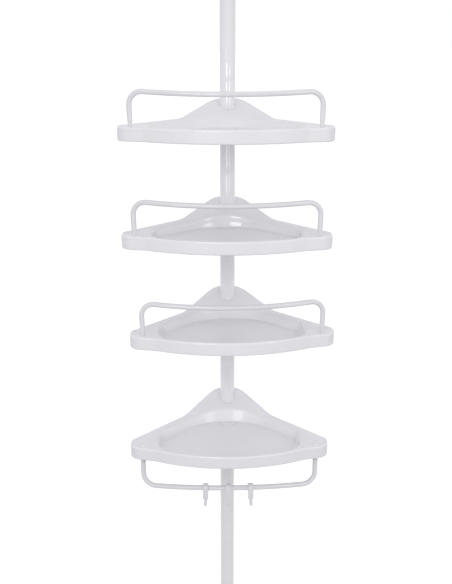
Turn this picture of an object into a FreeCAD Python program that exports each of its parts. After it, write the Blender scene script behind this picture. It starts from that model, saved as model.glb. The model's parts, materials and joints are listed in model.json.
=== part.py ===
import FreeCAD, Part
import math
import os
import re
import Sketcher
from FreeCAD import Placement, Rotation, Vector

# Tension pole shelf unit: four corner trays clamped on a telescoping pole.
# Frame: millimetres, +Z up, the user stands at -Y, the room corner is at +Y.
# Origin: centre of the floor pad's underside, on the pole's axis.
doc = FreeCAD.newDocument("tension_pole_shelf_unit")

# ----------------------------------------------------------------------------
# Driving sizes, in millimetres and degrees
# ----------------------------------------------------------------------------
SIZES = {
    # fits
    "press_gap": 0.02,
    "slide_gap": 0.05,
    # foot
    "floor_pad_radius": 34.0,
    "floor_pad_height": 9.0,
    "floor_pad_sole": 4.0,
    "floor_pad_wall": 2.1,
    "foot_flange_height": 7.0,
    "foot_floor": 5.0,
    "foot_cone_height": 27.0,
    "foot_cone_radius": 24.0,
    "foot_neck_wall": 3.5,
    # pole: two outer tubes joined by a plug, with a sliding tube on top
    "pole_radius": 12.5,
    "pole_wall": 1.0,
    "seam_height": 829.0,
    "pole_top": 1130.0,
    "coupler_length": 90.0,
    "coupler_wall": 2.5,
    "inner_tube_gap": 0.5,
    "inner_tube_wall": 1.0,
    "inner_tube_stop_gap": 5.0,
    "inner_tube_showing": 13.0,
    # twist lock
    "lock_skirt_length": 22.0,
    "lock_skirt_wall": 3.4,
    "lock_shoulder": 3.0,
    "lock_neck_wall": 2.6,
    "lock_neck_height": 26.0,
    "lock_slot_width": 1.6,
    "lock_slot_depth": 20.0,
    "collar_gap": 0.08,
    "collar_wall": 3.4,
    "collar_height": 24.0,
    "collar_lift": 0.6,
    "grip_rib_radius": 1.3,
    "grip_rib_count": 14,
    # spring, its guides and the plunger
    "bush_plug_length": 15.0,
    "bush_flange_height": 6.0,
    "bush_wall": 1.6,
    "seat_thickness": 6.0,
    "spring_length": 61.0,
    "spring_turns": 9,
    "spring_wire_radius": 0.8,
    "spring_radius": 7.4,
    "end_bush_length": 12.0,
    "end_bush_flange": 3.0,
    "plunger_radius": 8.5,
    "plunger_wall": 2.2,
    "plunger_flange": 4.0,
    "plunger_flange_gap": 0.1,
    "plunger_plug": 14.0,
    "plunger_showing": 34.0,
    # ceiling end
    "ceiling_cap_radius": 27.0,
    "ceiling_cap_plate": 5.0,
    "ceiling_cap_skirt": 10.0,
    "ceiling_cap_wall": 3.0,
    "ceiling_pad_lip": 2.0,
    "ceiling_pad_sole": 4.0,
    "cap_screw_radius": 1.9,
    "cap_screw_length": 12.0,
    "cap_screw_head_radius": 3.8,
    "cap_screw_head_height": 2.4,
    "cap_screw_head_gap": 0.4,
    # trays: the lowest rim, the gaps from rim to rim and the turns about the pole
    "rim_height_4": 416.4,
    "shelf_gap_3": 190.0,
    "shelf_gap_2": 157.1,
    "shelf_gap_1": 161.5,
    "turn_angle_1": -0.97,
    "turn_angle_2": -0.37,
    "turn_angle_3": 3.09,
    "turn_angle_4": 1.19,
    # tray outline at the rim, seen from above
    "half_width": 160.6,
    "bow_sag": 53.45,
    "bow_proud": 33.5,
    "side_depth": 33.803,
    "ear_radius": 20.8,
    "ear_front_angle": 13.0,
    "ear_back_radius": 14.0,
    "half_corner_angle": 42.3,
    "corner_reach": 45.3,
    "corner_radius": 40.0,
    # tray section
    "tray_wall": 2.2,
    "band_height": 19.7,
    "band_draft": 5.0,
    "lip_height": 1.3,
    "lip_width": 3.2,
    "lip_full_back": 15.0,
    "lip_fade_back": 55.0,
    "hood_start": 43.5,
    "hood_angle": 25.0,
    "hood_sweep_radius": 33.0,
    "crest_start": 2.0,
    "crest_radius": 133.0,
    "crest_angle": 14.0,
    # pan, measured at its floor
    "pan_depth": 15.0,
    "pan_draft": 16.0,
    "pan_margin": 10.8,
    "pan_side_margin": 45.1,
    "pan_back": 31.5,
    "pan_back_flat": 12.0,
    "pan_back_radius": 70.0,
    "pan_back_skew_angle": 0.7,
    "pan_rear_corner": 8.0,
    "pan_front_corner": 24.0,
    "drain_radius": 2.0,
    "drain_pitch": 9.5,
    "drain_row_gap": 9.8,
    "drain_set_in": 0.5,
    "rib_width": 1.8,
    "rib_lift": 3.0,
    # split cone between a tray and the pole
    "sleeve_top": 12.3,
    "sleeve_top_wall": 1.35,
    "sleeve_bottom_wall": 3.4,
    "sleeve_flange_gap": 0.3,
    "sleeve_flange_height": 3.4,
    "sleeve_flange": 2.1,
    "sleeve_slit": 3.0,
    "socket_gap": 0.06,
    "socket_wall": 2.4,
    "deck_hole_gap": 1.7,
    # rails
    "rail_radius": 4.0,
    "rail_wall": 0.8,
    "rail_bend_radius": 20.0,
    "rail_bulge": 20.96,
    "rail_dip_angle": 10.6,
    "rail_rise": 52.1,
    "rail_stand_off": 8.0,
    "ear_hole_inset": 20.6,
    "ear_hole_back": 16.5,
    "peg_in_tube": 14.0,
    "peg_in_ear": 10.0,
    "ear_boss_wall": 4.6,
    "screw_radius": 1.5,
    "screw_bite": 7.0,
    "screw_hole_gap": 0.25,
    "screw_head_radius": 3.9,
    "screw_head_height": 2.2,
    "screw_seat_depth": 3.0,
    "screw_seat_gap": 1.4,
    "driver_slot": 0.9,
    "driver_slot_depth": 1.2,
    # hooks
    "hook_gap": 0.08,
    "hook_width": 8.6,
    "hook_ring_wall": 3.2,
    "hook_mouth_angle": 80.0,
    "hook_tongue": 2.4,
    "hook_drop": 19.0,
    "hook_taper": 2.4,
    "hook_tip_radius": 2.1,
    "hook_tip_reach": 9.0,
    "hook_curl_drop": 5.2,
    "hook_tip_rise": 2.6,
    "hook_angle_left": -4.79,
    "hook_angle_middle": -0.25,
    "hook_angle_right": 4.17,
}

# sizes that follow from the ones above
DERIVED = {
    "foot_radius": "floor_pad_radius - floor_pad_wall - press_gap",
    "foot_top": "floor_pad_sole + foot_flange_height",
    "pole_foot": "floor_pad_sole + foot_floor",
    "pole_socket": "pole_radius + press_gap",
    "pole_bore": "pole_radius - pole_wall",
    "inner_radius": "pole_bore - inner_tube_gap",
    "inner_bore": "inner_radius - inner_tube_wall",
    "plug_radius": "inner_bore - press_gap",
    "lock_shoulder_top": "pole_top + lock_shoulder",
    "lock_neck_top": "lock_shoulder_top + lock_neck_height",
    "lock_bore": "inner_radius + slide_gap",
    "lock_neck_radius": "lock_bore + lock_neck_wall",
    "collar_bore": "lock_neck_radius + collar_gap",
    "collar_radius": "collar_bore + collar_wall",
    "collar_bottom": "lock_shoulder_top + collar_lift",
    "inner_tube_bottom": "seam_height + coupler_length / 2 + bush_flange_height"
                         " + inner_tube_stop_gap",
    "inner_tube_top": "lock_neck_top + inner_tube_showing",
    "end_bush_bottom": "inner_tube_top - end_bush_length",
    "spring_top": "end_bush_bottom - plunger_flange",
    "spring_bottom": "spring_top - spring_length",
    "plunger_top": "inner_tube_top + plunger_showing",
    "cap_bottom": "plunger_top - ceiling_cap_skirt",
    "cap_top": "plunger_top + ceiling_cap_plate",
    "cap_socket": "plunger_radius + press_gap",
    "cap_screw_seat": "cap_top - cap_screw_head_height",
    "rim_height_3": "rim_height_4 + shelf_gap_3",
    "rim_height_2": "rim_height_3 + shelf_gap_2",
    "rim_height_1": "rim_height_2 + shelf_gap_1",
    "ear_front": "half_width / tan(half_corner_angle) - corner_reach + side_depth",
    "front_reach": "ear_front + bow_proud",
    "bow_radius": "(half_width ^ 2 + bow_sag ^ 2) / (2 * bow_sag)",
    "lip_full": "ear_front - lip_full_back",
    "lip_back": "ear_front - lip_fade_back",
    "pan_side": "half_width - pan_side_margin",
    "pan_back_angle": "90 - half_corner_angle - pan_back_skew_angle",
    "ear_hole_x": "half_width - ear_hole_inset",
    "ear_hole_y": "ear_front - ear_hole_back",
    "sleeve_bore": "pole_radius + slide_gap",
    "sleeve_top_radius": "sleeve_bore + sleeve_top_wall",
    "sleeve_bottom_radius": "sleeve_bore + sleeve_bottom_wall",
    "sleeve_flange_top": "-band_height - sleeve_flange_gap",
    "socket_top_radius": "sleeve_top_radius + socket_gap",
    "socket_bottom_radius": "sleeve_bottom_radius + socket_gap",
    "rail_bore": "rail_radius - rail_wall",
    "peg_radius": "rail_bore - press_gap",
    "screw_seat": "screw_seat_depth - band_height",
    "hook_bore": "rail_radius + hook_gap",
    "hook_ring": "hook_bore + hook_ring_wall",
}

sheet = doc.addObject("Spreadsheet::Sheet", "sizes")
for row, (alias, number) in enumerate(SIZES.items(), start=1):
    sheet.set("A%d" % row, alias)
    sheet.set("B%d" % row, str(number))
    sheet.setAlias("B%d" % row, alias)
doc.recompute()


def expression(text):
    """The text with each size's name turned into a reference to its cell."""
    def reference(match):
        name = match.group(0)
        if name in DERIVED:
            return "(%s)" % expression(DERIVED[name])
        return "sizes." + name if name in SIZES else name
    return re.sub(r"[a-z_][a-z_0-9]*", reference, text)


def value(text):
    """The number that a size, or a sum of sizes, has in the sheet."""
    return float(sheet.evalExpression(expression(text)))


def bind(thing, **properties):
    """Ties properties to the sheet; two underscores stand for a dot."""
    for name, text in properties.items():
        thing.setExpression(name.replace("__", "."), expression(text))
    return thing


# ----------------------------------------------------------------------------
# Primitives and booleans
# ----------------------------------------------------------------------------
def move(thing, x="0", y="0", z="0"):
    return bind(thing, Placement__Base__x=x, Placement__Base__y=y, Placement__Base__z=z)


def cylinder(radius, height, z="0", x="0", y="0"):
    """An upright cylinder whose base is centred at x, y, z."""
    thing = doc.addObject("Part::Cylinder", "cylinder")
    return move(bind(thing, Radius=radius, Height=height), x, y, z)


def box(width, depth, height, z, x="0", y="0"):
    """An upright box whose base is centred at x, y, z."""
    thing = doc.addObject("Part::Box", "box")
    bind(thing, Length=width, Width=depth, Height=height)
    return move(thing, "%s - (%s) / 2" % (x, width), "%s - (%s) / 2" % (y, depth), z)


def fuse(*things):
    thing = doc.addObject("Part::MultiFuse", "fuse")
    thing.Shapes = list(things)
    return thing


def cut(base, *tools):
    thing = doc.addObject("Part::Cut", "cut")
    thing.Base = base
    thing.Tool = tools[0] if len(tools) == 1 else fuse(*tools)
    return thing


def tube(outer, inner, bottom, top):
    """A straight tube on the pole's axis, from one height to another."""
    length = "%s - (%s)" % (top, bottom)
    return cut(cylinder(outer, length, bottom), cylinder(inner, length, bottom))


def group(things, place=None):
    """A compound of one or more pieces, as one object with its own placement."""
    thing = doc.addObject("Part::Compound", "group")
    thing.Links = list(things)
    if place is not None:
        thing.Placement = place
    return thing


# ----------------------------------------------------------------------------
# Bodies and sketches
# ----------------------------------------------------------------------------
def new_body(name):
    return doc.addObject("PartDesign::Body", name)


def new_sketch(body, name, role="XY_Plane", lift="0"):
    """A sketch on one of the body's own origin planes, lifted along the plane's normal."""
    sketch = body.newObject("Sketcher::SketchObject", name)
    plane = [item for item in body.Origin.OriginFeatures if item.Role == role][0]
    sketch.AttachmentSupport = [(plane, "")]
    sketch.MapMode = "FlatFace"
    return bind(sketch, AttachmentOffset__Base__z=lift)


def hold(sketch, kind, elements, text):
    """A dimension of the sketch, tied to the sheet."""
    index = sketch.addConstraint(Sketcher.Constraint(kind, *elements, value(text)))
    sketch.setExpression("Constraints[%d]" % index, expression(text))


def draw_circle(sketch, radius, x, y):
    centre = Vector(value(x), value(y), 0)
    index = sketch.addGeometry(Part.Circle(centre, Vector(0, 0, 1), value(radius)), False)
    hold(sketch, "Radius", (index,), radius)
    hold(sketch, "DistanceX", (-1, 1, index, 3), x)
    hold(sketch, "DistanceY", (-1, 1, index, 3), y)


def draw_polygon(sketch, corners):
    """A closed outline of straight lines; each corner is a pair of sums of sizes."""
    points = [Vector(value(x), value(y), 0) for x, y in corners]
    lines = [Part.LineSegment(a, b) for a, b in zip(points, points[1:] + points[:1])]
    first = sketch.addGeometry(lines, False)[0]
    for index, (x, y) in enumerate(corners):
        before = first + (index - 1) % len(corners)
        sketch.addConstraint(Sketcher.Constraint("Coincident", before, 2, first + index, 1))
        hold(sketch, "DistanceX", (-1, 1, first + index, 1), x)
        hold(sketch, "DistanceY", (-1, 1, first + index, 1), y)


def draw_curves(sketch, runs):
    """Curves through computed points: a run of two is a line, of three is an arc."""
    curves = [Part.Arc(*run) if len(run) == 3 else Part.LineSegment(*run) for run in runs]
    sketch.addGeometry(curves, False)


def revolve(body, corners, name="turned"):
    """A full turn about the body's Z axis; corners are radius and height."""
    sketch = new_sketch(body, name + "_profile", "XZ_Plane")
    draw_polygon(sketch, corners)
    feature = body.newObject("PartDesign::Revolution", name)
    feature.Profile = sketch
    feature.ReferenceAxis = (sketch, ["V_Axis"])
    feature.Angle = 360
    sketch.Visibility = False
    return feature


def pad(body, sketch, length, name, **settings):
    feature = body.newObject("PartDesign::Pad", name)
    feature.Profile = sketch
    bind(feature, Length=length)
    for key, setting in settings.items():
        setattr(feature, key, setting)
    return feature


def pocket(body, sketch, length, name, **settings):
    feature = body.newObject("PartDesign::Pocket", name)
    feature.Profile = sketch
    if length is None:
        feature.Type = "ThroughAll"
    else:
        bind(feature, Length=length)
    for key, setting in settings.items():
        setattr(feature, key, setting)
    return feature


def polar(body, originals, axis_sketch, count, name, angle=360):
    """Copies of features about the body's Z axis."""
    feature = body.newObject("PartDesign::PolarPattern", name)
    feature.Originals = originals
    feature.Axis = (axis_sketch, ["N_Axis"])
    feature.Angle = angle
    bind(feature, Occurrences=count)
    body.Tip = feature
    return feature


nodes = []


def node(thing, label):
    """Names an object as a piece of the assembly."""
    thing.Label = label
    nodes.append(thing)
    return thing


# ----------------------------------------------------------------------------
# Foot: a rubber pad and the moulded cap that takes the pole
# ----------------------------------------------------------------------------
node(cut(cylinder("floor_pad_radius", "floor_pad_height"),
         cylinder("floor_pad_radius - floor_pad_wall", "floor_pad_height", "floor_pad_sole")),
     "floor_pad")

foot = new_body("foot")
revolve(foot, [
    ("0", "floor_pad_sole"),
    ("foot_radius", "floor_pad_sole"),
    ("foot_radius", "foot_top"),
    ("foot_cone_radius", "foot_top"),
    ("pole_socket + foot_neck_wall", "foot_top + foot_cone_height"),
    ("pole_socket", "foot_top + foot_cone_height"),
    ("pole_socket", "pole_foot"),
    ("0", "pole_foot"),
])
node(foot, "foot_cap")

# ----------------------------------------------------------------------------
# Pole: two outer tubes on a plug
# ----------------------------------------------------------------------------
node(tube("pole_radius", "pole_bore", "pole_foot", "seam_height"), "lower_tube")
node(tube("pole_radius", "pole_bore", "seam_height", "pole_top"), "upper_tube")
node(tube("pole_bore - press_gap", "pole_bore - coupler_wall",
          "seam_height - coupler_length / 2", "seam_height + coupler_length / 2"),
     "tube_coupler")

# ----------------------------------------------------------------------------
# Twist lock: a slotted neck on the pole's top, and the collar that squeezes it
# ----------------------------------------------------------------------------
lock = new_body("lock")
revolve(lock, [
    ("pole_socket", "pole_top - lock_skirt_length"),
    ("pole_socket + lock_skirt_wall", "pole_top - lock_skirt_length"),
    ("pole_socket + lock_skirt_wall", "lock_shoulder_top"),
    ("lock_neck_radius", "lock_shoulder_top"),
    ("lock_neck_radius", "lock_neck_top"),
    ("lock_bore", "lock_neck_top"),
    ("lock_bore", "pole_top"),
    ("pole_socket", "pole_top"),
])
slot_sketch = new_sketch(lock, "slot_profile", "XZ_Plane")
draw_polygon(slot_sketch, [
    ("-lock_slot_width / 2", "lock_neck_top - lock_slot_depth"),
    ("lock_slot_width / 2", "lock_neck_top - lock_slot_depth"),
    ("lock_slot_width / 2", "lock_neck_top + lock_shoulder"),
    ("-lock_slot_width / 2", "lock_neck_top + lock_shoulder"),
])
slot = pocket(lock, slot_sketch, None, "slot", Midplane=True)
axis_sketch = new_sketch(lock, "axis")
draw_circle(axis_sketch, "lock_bore", "0", "0")
polar(lock, [slot], axis_sketch, "2", "slots", angle=90)
node(lock, "lock_base")

collar = new_body("collar")
collar_sketch = new_sketch(collar, "ring", lift="collar_bottom")
draw_circle(collar_sketch, "collar_radius", "0", "0")
draw_circle(collar_sketch, "collar_bore", "0", "0")
pad(collar, collar_sketch, "collar_height", "collar_ring")
rib_sketch = new_sketch(collar, "rib", lift="collar_bottom")
draw_circle(rib_sketch, "grip_rib_radius", "collar_radius", "0")
rib = pad(collar, rib_sketch, "collar_height", "grip_rib")
polar(collar, [rib], collar_sketch, "grip_rib_count", "grip_ribs")
node(collar, "lock_collar")

# ----------------------------------------------------------------------------
# Mast: the sliding tube with its bush, the spring's seat, spring and end bush
# ----------------------------------------------------------------------------
node(tube("inner_radius", "inner_bore", "inner_tube_bottom", "inner_tube_top"), "inner_tube")

bush = new_body("bush")
revolve(bush, [
    ("plug_radius - bush_wall", "inner_tube_bottom - bush_flange_height"),
    ("pole_bore - slide_gap", "inner_tube_bottom - bush_flange_height"),
    ("pole_bore - slide_gap", "inner_tube_bottom"),
    ("plug_radius", "inner_tube_bottom"),
    ("plug_radius", "inner_tube_bottom + bush_plug_length"),
    ("plug_radius - bush_wall", "inner_tube_bottom + bush_plug_length"),
])
node(bush, "slide_bush")

node(cylinder("plug_radius", "seat_thickness", "spring_bottom - seat_thickness"), "spring_seat")

coil = doc.addObject("Part::Helix", "coil")
bind(coil, Radius="spring_radius", Height="spring_length - 2 * spring_wire_radius",
     Pitch="(spring_length - 2 * spring_wire_radius) / spring_turns")
wire_section = doc.addObject("Part::Circle", "wire_section")
bind(wire_section, Radius="spring_wire_radius")
wire_section.Placement = Placement(Vector(), Rotation(Vector(1, 0, 0), 90))
bind(wire_section, Placement__Base__x="spring_radius")
spring = doc.addObject("Part::Sweep", "spring")
spring.Sections = [wire_section]
spring.Spine = (coil, ["Edge1"])
spring.Solid = True
spring.Frenet = True
move(spring, z="spring_bottom + spring_wire_radius")
node(spring, "tension_spring")

end_bush = new_body("end")
revolve(end_bush, [
    ("plunger_radius + slide_gap", "end_bush_bottom"),
    ("plug_radius", "end_bush_bottom"),
    ("plug_radius", "inner_tube_top"),
    ("inner_radius", "inner_tube_top"),
    ("inner_radius", "inner_tube_top + end_bush_flange"),
    ("plunger_radius + slide_gap", "inner_tube_top + end_bush_flange"),
])
node(end_bush, "end_bush")

# ----------------------------------------------------------------------------
# Plunger and ceiling end
# ----------------------------------------------------------------------------
plunger = new_body("rod")
revolve(plunger, [
    ("plunger_radius - plunger_wall", "spring_top"),
    ("inner_bore - plunger_flange_gap", "spring_top"),
    ("inner_bore - plunger_flange_gap", "spring_top + plunger_flange"),
    ("plunger_radius", "spring_top + plunger_flange"),
    ("plunger_radius", "plunger_top"),
    ("cap_screw_radius + press_gap", "plunger_top"),
    ("cap_screw_radius + press_gap", "plunger_top - plunger_plug"),
    ("plunger_radius - plunger_wall", "plunger_top - plunger_plug"),
])
node(plunger, "plunger")

cap = new_body("cap")
revolve(cap, [
    ("cap_socket", "cap_bottom"),
    ("cap_socket + ceiling_cap_wall", "cap_bottom"),
    ("cap_socket + ceiling_cap_wall", "plunger_top"),
    ("ceiling_cap_radius - ceiling_cap_wall", "plunger_top"),
    ("ceiling_cap_radius - ceiling_cap_wall", "cap_bottom"),
    ("ceiling_cap_radius", "cap_bottom"),
    ("ceiling_cap_radius", "cap_top"),
    ("cap_screw_head_radius + cap_screw_head_gap", "cap_top"),
    ("cap_screw_head_radius + cap_screw_head_gap", "cap_screw_seat"),
    ("cap_screw_radius + press_gap", "cap_screw_seat"),
    ("cap_screw_radius + press_gap", "plunger_top"),
    ("cap_socket", "plunger_top"),
])
node(cap, "ceiling_cap")

cap_screw = new_body("screw")
revolve(cap_screw, [
    ("0", "cap_screw_seat - cap_screw_length"),
    ("cap_screw_radius", "cap_screw_seat - cap_screw_length"),
    ("cap_screw_radius", "cap_screw_seat"),
    ("cap_screw_head_radius", "cap_screw_seat"),
    ("cap_screw_head_radius", "cap_top"),
    ("0", "cap_top"),
])
node(cap_screw, "cap_screw")

pad_height = "ceiling_cap_plate + ceiling_pad_sole"
node(cut(cylinder("ceiling_cap_radius + ceiling_pad_lip", pad_height, "plunger_top"),
         cylinder("ceiling_cap_radius + press_gap", "ceiling_cap_plate", "plunger_top")),
     "ceiling_pad")


# ----------------------------------------------------------------------------
# Plane geometry for the tray's curves, right half only (x >= 0)
# ----------------------------------------------------------------------------
def direction(degrees):
    return Vector(math.cos(math.radians(degrees)), math.sin(math.radians(degrees)), 0)


class Edge:
    """A straight edge through a point, with its outward normal."""

    def __init__(self, point, normal):
        self.point = point
        self.normal = normal

    def touch(self, centre, radius):
        return centre + self.normal * radius


class Bow:
    """A round edge that is convex outward."""

    def __init__(self, centre, radius):
        self.centre = centre
        self.radius = radius

    def touch(self, centre, radius):
        outward = centre - self.centre
        outward.normalize()
        return self.centre + outward * self.radius


def corner_of_edges(first, second, radius):
    """Centre of the circle inside two straight edges that touches both."""
    a = first.normal.dot(first.point) - radius
    b = second.normal.dot(second.point) - radius
    m, n = first.normal, second.normal
    scale = m.x * n.y - m.y * n.x
    return Vector((a * n.y - b * m.y) / scale, (m.x * b - n.x * a) / scale, 0)


def front_corner(edge, bow, radius):
    """Centre of the circle inside an edge and a bow, at the front of the tray."""
    along = Vector(-edge.normal.y, edge.normal.x, 0)
    inset = edge.normal.dot(edge.point) - radius - edge.normal.dot(bow.centre)
    reach = math.sqrt((bow.radius - radius) ** 2 - inset ** 2)
    ends = [bow.centre + edge.normal * inset + along * side * reach for side in (1, -1)]
    return min(ends, key=lambda end: end.y)


def arc(centre, radius, start, end):
    """The three points of the short arc from start to end."""
    middle = (start - centre) + (end - centre)
    middle.normalize()
    return (start, centre + middle * radius, end)


def mirrored(runs):
    """Both halves of an outline whose right half is given."""
    whole = []
    for run in runs:
        for side in (1, -1):
            points = [Vector(side * point.x, point.y, 0) for point in run]
            if (points[0] - points[-1]).Length > 1e-6:
                whole.append(points)
    return whole


# ----------------------------------------------------------------------------
# Tray: outline, deck profile and pan
# ----------------------------------------------------------------------------
def tray_outline(inset, back=None):
    """Right half of the rim's outline, moved inward; back cuts it off along a line in X."""
    bow = Bow(Vector(0, value("bow_radius - front_reach"), 0), value("bow_radius") - inset)
    ear = Vector(value("half_width - ear_radius"), value("ear_radius - ear_front"), 0)
    ear_radius = value("ear_radius") - inset
    slant = value("ear_front_angle")
    # the ear's straight front edge runs inward until it meets the bow
    ear_start = ear + direction(slant - 90) * ear_radius
    inward = direction(slant) * -1
    offset = ear_start - bow.centre
    root = math.sqrt(offset.dot(inward) ** 2 - offset.dot(offset) + bow.radius ** 2)
    reach = min(step for step in (-offset.dot(inward) + root, -offset.dot(inward) - root)
                if step > 0)
    notch = ear_start + inward * reach
    front = Vector(0, inset - value("front_reach"), 0)
    ear_end = ear + Vector(ear_radius, 0, 0)
    runs = [arc(bow.centre, bow.radius, front, notch), (notch, ear_start),
            arc(ear, ear_radius, ear_start, ear_end)]
    if back is not None:
        end = Vector(ear_end.x, -back, 0)
        return runs + [(ear_end, end), (end, Vector(0, -back, 0))]
    side = Edge(Vector(value("half_width") - inset, 0, 0), Vector(1, 0, 0))
    slope = direction(value("half_corner_angle"))
    rear = Edge(Vector(0, value("corner_reach"), 0) - slope * inset, slope)
    rear_radius = value("ear_back_radius") - inset
    rear_ear = corner_of_edges(side, rear, rear_radius)
    tip_radius = value("corner_radius") - inset
    tip = Vector(0, (rear.normal.dot(rear.point) - tip_radius) / slope.y, 0)
    side_end = side.touch(rear_ear, rear_radius)
    rear_start = rear.touch(rear_ear, rear_radius)
    rear_end = rear.touch(tip, tip_radius)
    return runs + [(ear_end, side_end), arc(rear_ear, rear_radius, side_end, rear_start),
                   (rear_start, rear_end),
                   arc(tip, tip_radius, rear_end, tip + Vector(0, tip_radius, 0))]


def pan_outline(outset):
    """Right half of the pan's outline at its floor, moved outward."""
    bow = Bow(Vector(0, value("bow_radius - front_reach"), 0),
              value("bow_radius - pan_margin") + outset)
    side = Edge(Vector(value("pan_side") + outset, 0, 0), Vector(1, 0, 0))
    slope = direction(90 - value("pan_back_angle"))
    hub = Vector(value("pan_back_flat"), -value("pan_back + pan_back_radius"), 0)
    hub_radius = value("pan_back_radius") + outset
    rear = Edge(hub + slope * hub_radius, slope)
    front_radius = value("pan_front_corner") + outset
    rear_radius = value("pan_rear_corner") + outset
    front_hub = front_corner(side, bow, front_radius)
    rear_hub = corner_of_edges(side, rear, rear_radius)
    front = Vector(0, bow.centre.y - bow.radius, 0)
    bow_end = bow.touch(front_hub, front_radius)
    side_start = side.touch(front_hub, front_radius)
    side_end = side.touch(rear_hub, rear_radius)
    rear_start = rear.touch(rear_hub, rear_radius)
    flat_end = hub + Vector(0, hub_radius, 0)
    return [arc(bow.centre, bow.radius, front, bow_end),
            arc(front_hub, front_radius, bow_end, side_start), (side_start, side_end),
            arc(rear_hub, rear_radius, side_end, rear_start), (rear_start, rear.point),
            arc(hub, hub_radius, rear.point, flat_end), (flat_end, Vector(0, flat_end.y, 0))]


def deck_profile(drop, lip):
    """What is cut away above the deck: level at the front, rising to a hood at the pole."""
    rise = math.radians(value("hood_angle"))
    crest = math.radians(value("crest_angle"))
    sweep = value("hood_sweep_radius")
    dome = value("crest_radius")

    def sweep_point(angle):
        return Vector(sweep * math.sin(angle) - value("hood_start"),
                      sweep * (1 - math.cos(angle)) - drop, 0)

    slope_start = sweep_point(rise)
    run = value("crest_start") - slope_start.x
    slope_end = slope_start + Vector(run, run * math.tan(rise), 0)

    def crest_point(angle):
        return slope_end + Vector(dome * (math.sin(rise) - math.sin(angle)),
                                  dome * (math.cos(angle) - math.cos(rise)), 0)

    high = crest_point(crest)
    margin = value("half_width")
    above = high.y + value("band_height")
    points = [Vector(-value("front_reach") - margin, lip - drop, 0),
              Vector(-value("lip_full"), lip - drop, 0),
              Vector(-value("lip_back"), -drop, 0), sweep_point(0)]
    far = Vector(value("corner_reach") + margin, high.y, 0)
    tops = [Vector(far.x, above, 0), Vector(points[0].x, above, 0)]
    runs = [(points[0], points[1]), (points[1], points[2]), (points[2], points[3]),
            (points[3], sweep_point(rise / 2), slope_start), (slope_start, slope_end),
            (slope_end, crest_point((rise + crest) / 2), high), (high, far),
            (far, tops[0]), (tops[0], tops[1]), (tops[1], points[0])]
    return runs


def tray_form(name, inset, drop, lip, pan_outset, pan_drop, overrun):
    """A solid tray: a drafted band, a domed deck over it and the pan sunk into it."""
    body = new_body(name)
    rim = new_sketch(body, name + "_rim")
    draw_curves(rim, mirrored(tray_outline(inset)))
    pad(body, rim, "band_height + %s" % overrun, name + "_band", Reversed=True,
        TaperAngle=-value("band_draft"))
    pad(body, rim, "band_height * 2", name + "_rise")
    side_view = new_sketch(body, name + "_profile", "YZ_Plane")
    draw_curves(side_view, deck_profile(drop, lip))
    pocket(body, side_view, None, name + "_deck", Midplane=True)
    floor = new_sketch(body, name + "_floor", lift="-pan_depth - (%s)" % pan_drop)
    draw_curves(floor, mirrored(pan_outline(pan_outset)))
    pocket(body, floor, "band_height * 3", name + "_pan", Reversed=True,
           TaperAngle=value("pan_draft"))
    return body


# the outside, with the bead that stands along the front edge
shape = tray_form("shape", 0, 0, value("lip_height"), 0, "0", "0")
doc.recompute()
bead = new_sketch(shape, "bead_inside")
draw_curves(bead, mirrored(tray_outline(value("lip_width"), value("lip_back"))))
pocket(shape, bead, "band_height", "bead", Reversed=True)

# the hollow under the deck, open at the bottom
pan_wall = value("tray_wall") * (1 - math.tan(math.radians(value("pan_draft"))))
hollow = tray_form("hollow", value("tray_wall"), value("tray_wall"), 0, pan_wall, "tray_wall",
                   "tray_wall")

# what is left standing in the hollow: the pole's boss, the ears' bosses and ribs
post_radius = "socket_bottom_radius + socket_wall"
boss_radius = "peg_radius + ear_boss_wall"
standing = [cylinder(post_radius, "band_height * 3", "-band_height"),
            box("half_width * 0.6", "rib_width", "band_height * 3", "rib_lift - band_height"),
            box("rib_width", "pan_back * 2", "band_height * 3", "rib_lift - band_height")]
for side in ("", "-"):
    ear_x = side + "ear_hole_x"
    standing.append(cylinder(boss_radius, "band_height", "-band_height", ear_x, "-ear_hole_y"))
    standing.append(box("rib_width", "ear_radius * 2", "band_height", "rib_lift - band_height",
                        ear_x, "-ear_hole_y"))
shell = cut(shape, cut(hollow, *standing))

# the cone that takes the grip sleeve, and the round hole in the deck above it
socket = doc.addObject("Part::Cone", "socket")
bind(socket, Radius1="socket_bottom_radius", Radius2="socket_top_radius",
     Height="band_height + sleeve_top")
move(socket, z="-band_height")
deck_hole = cylinder("pole_radius + deck_hole_gap", "band_height * 3",
                     "sleeve_top - sleeve_top_wall")

# drain holes in two staggered rows at the foot of the pan's rear wall
drain_floor = "-pan_depth - tray_wall * 2"
drains = []
for row, columns in enumerate(((-1.5, -0.5, 0.5, 1.5), (-1, 0, 1))):
    for column in columns:
        drains.append(cylinder("drain_radius", "tray_wall * 3", drain_floor,
                               "%g * drain_pitch" % column,
                               "-pan_back - drain_radius - drain_set_in - %d * drain_row_gap" % row))

# ----------------------------------------------------------------------------
# Rail kit: rail, pegs, screws and their holes, with the ear's face at z = 0
# ----------------------------------------------------------------------------
bar_dip = math.radians(value("rail_dip_angle"))
bend = value("rail_bend_radius")
bulge = value("rail_bulge")
half_span = value("ear_hole_x")
# the bar is an arc in a plane that dips to the front; straight ends of this length
# leave it at a tangent and meet the legs' lines at the corners
bar_end = 1.2 * bend
bar_radius = (half_span ** 2 + bulge ** 2 - bar_end ** 2) / (2 * bulge)


def bar_point(x, forward):
    """A point of the bar's plane; forward is measured from the line of the corners."""
    return Vector(x, -value("ear_hole_y") - forward * math.cos(bar_dip),
                  value("rail_rise") - forward * math.sin(bar_dip))


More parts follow.
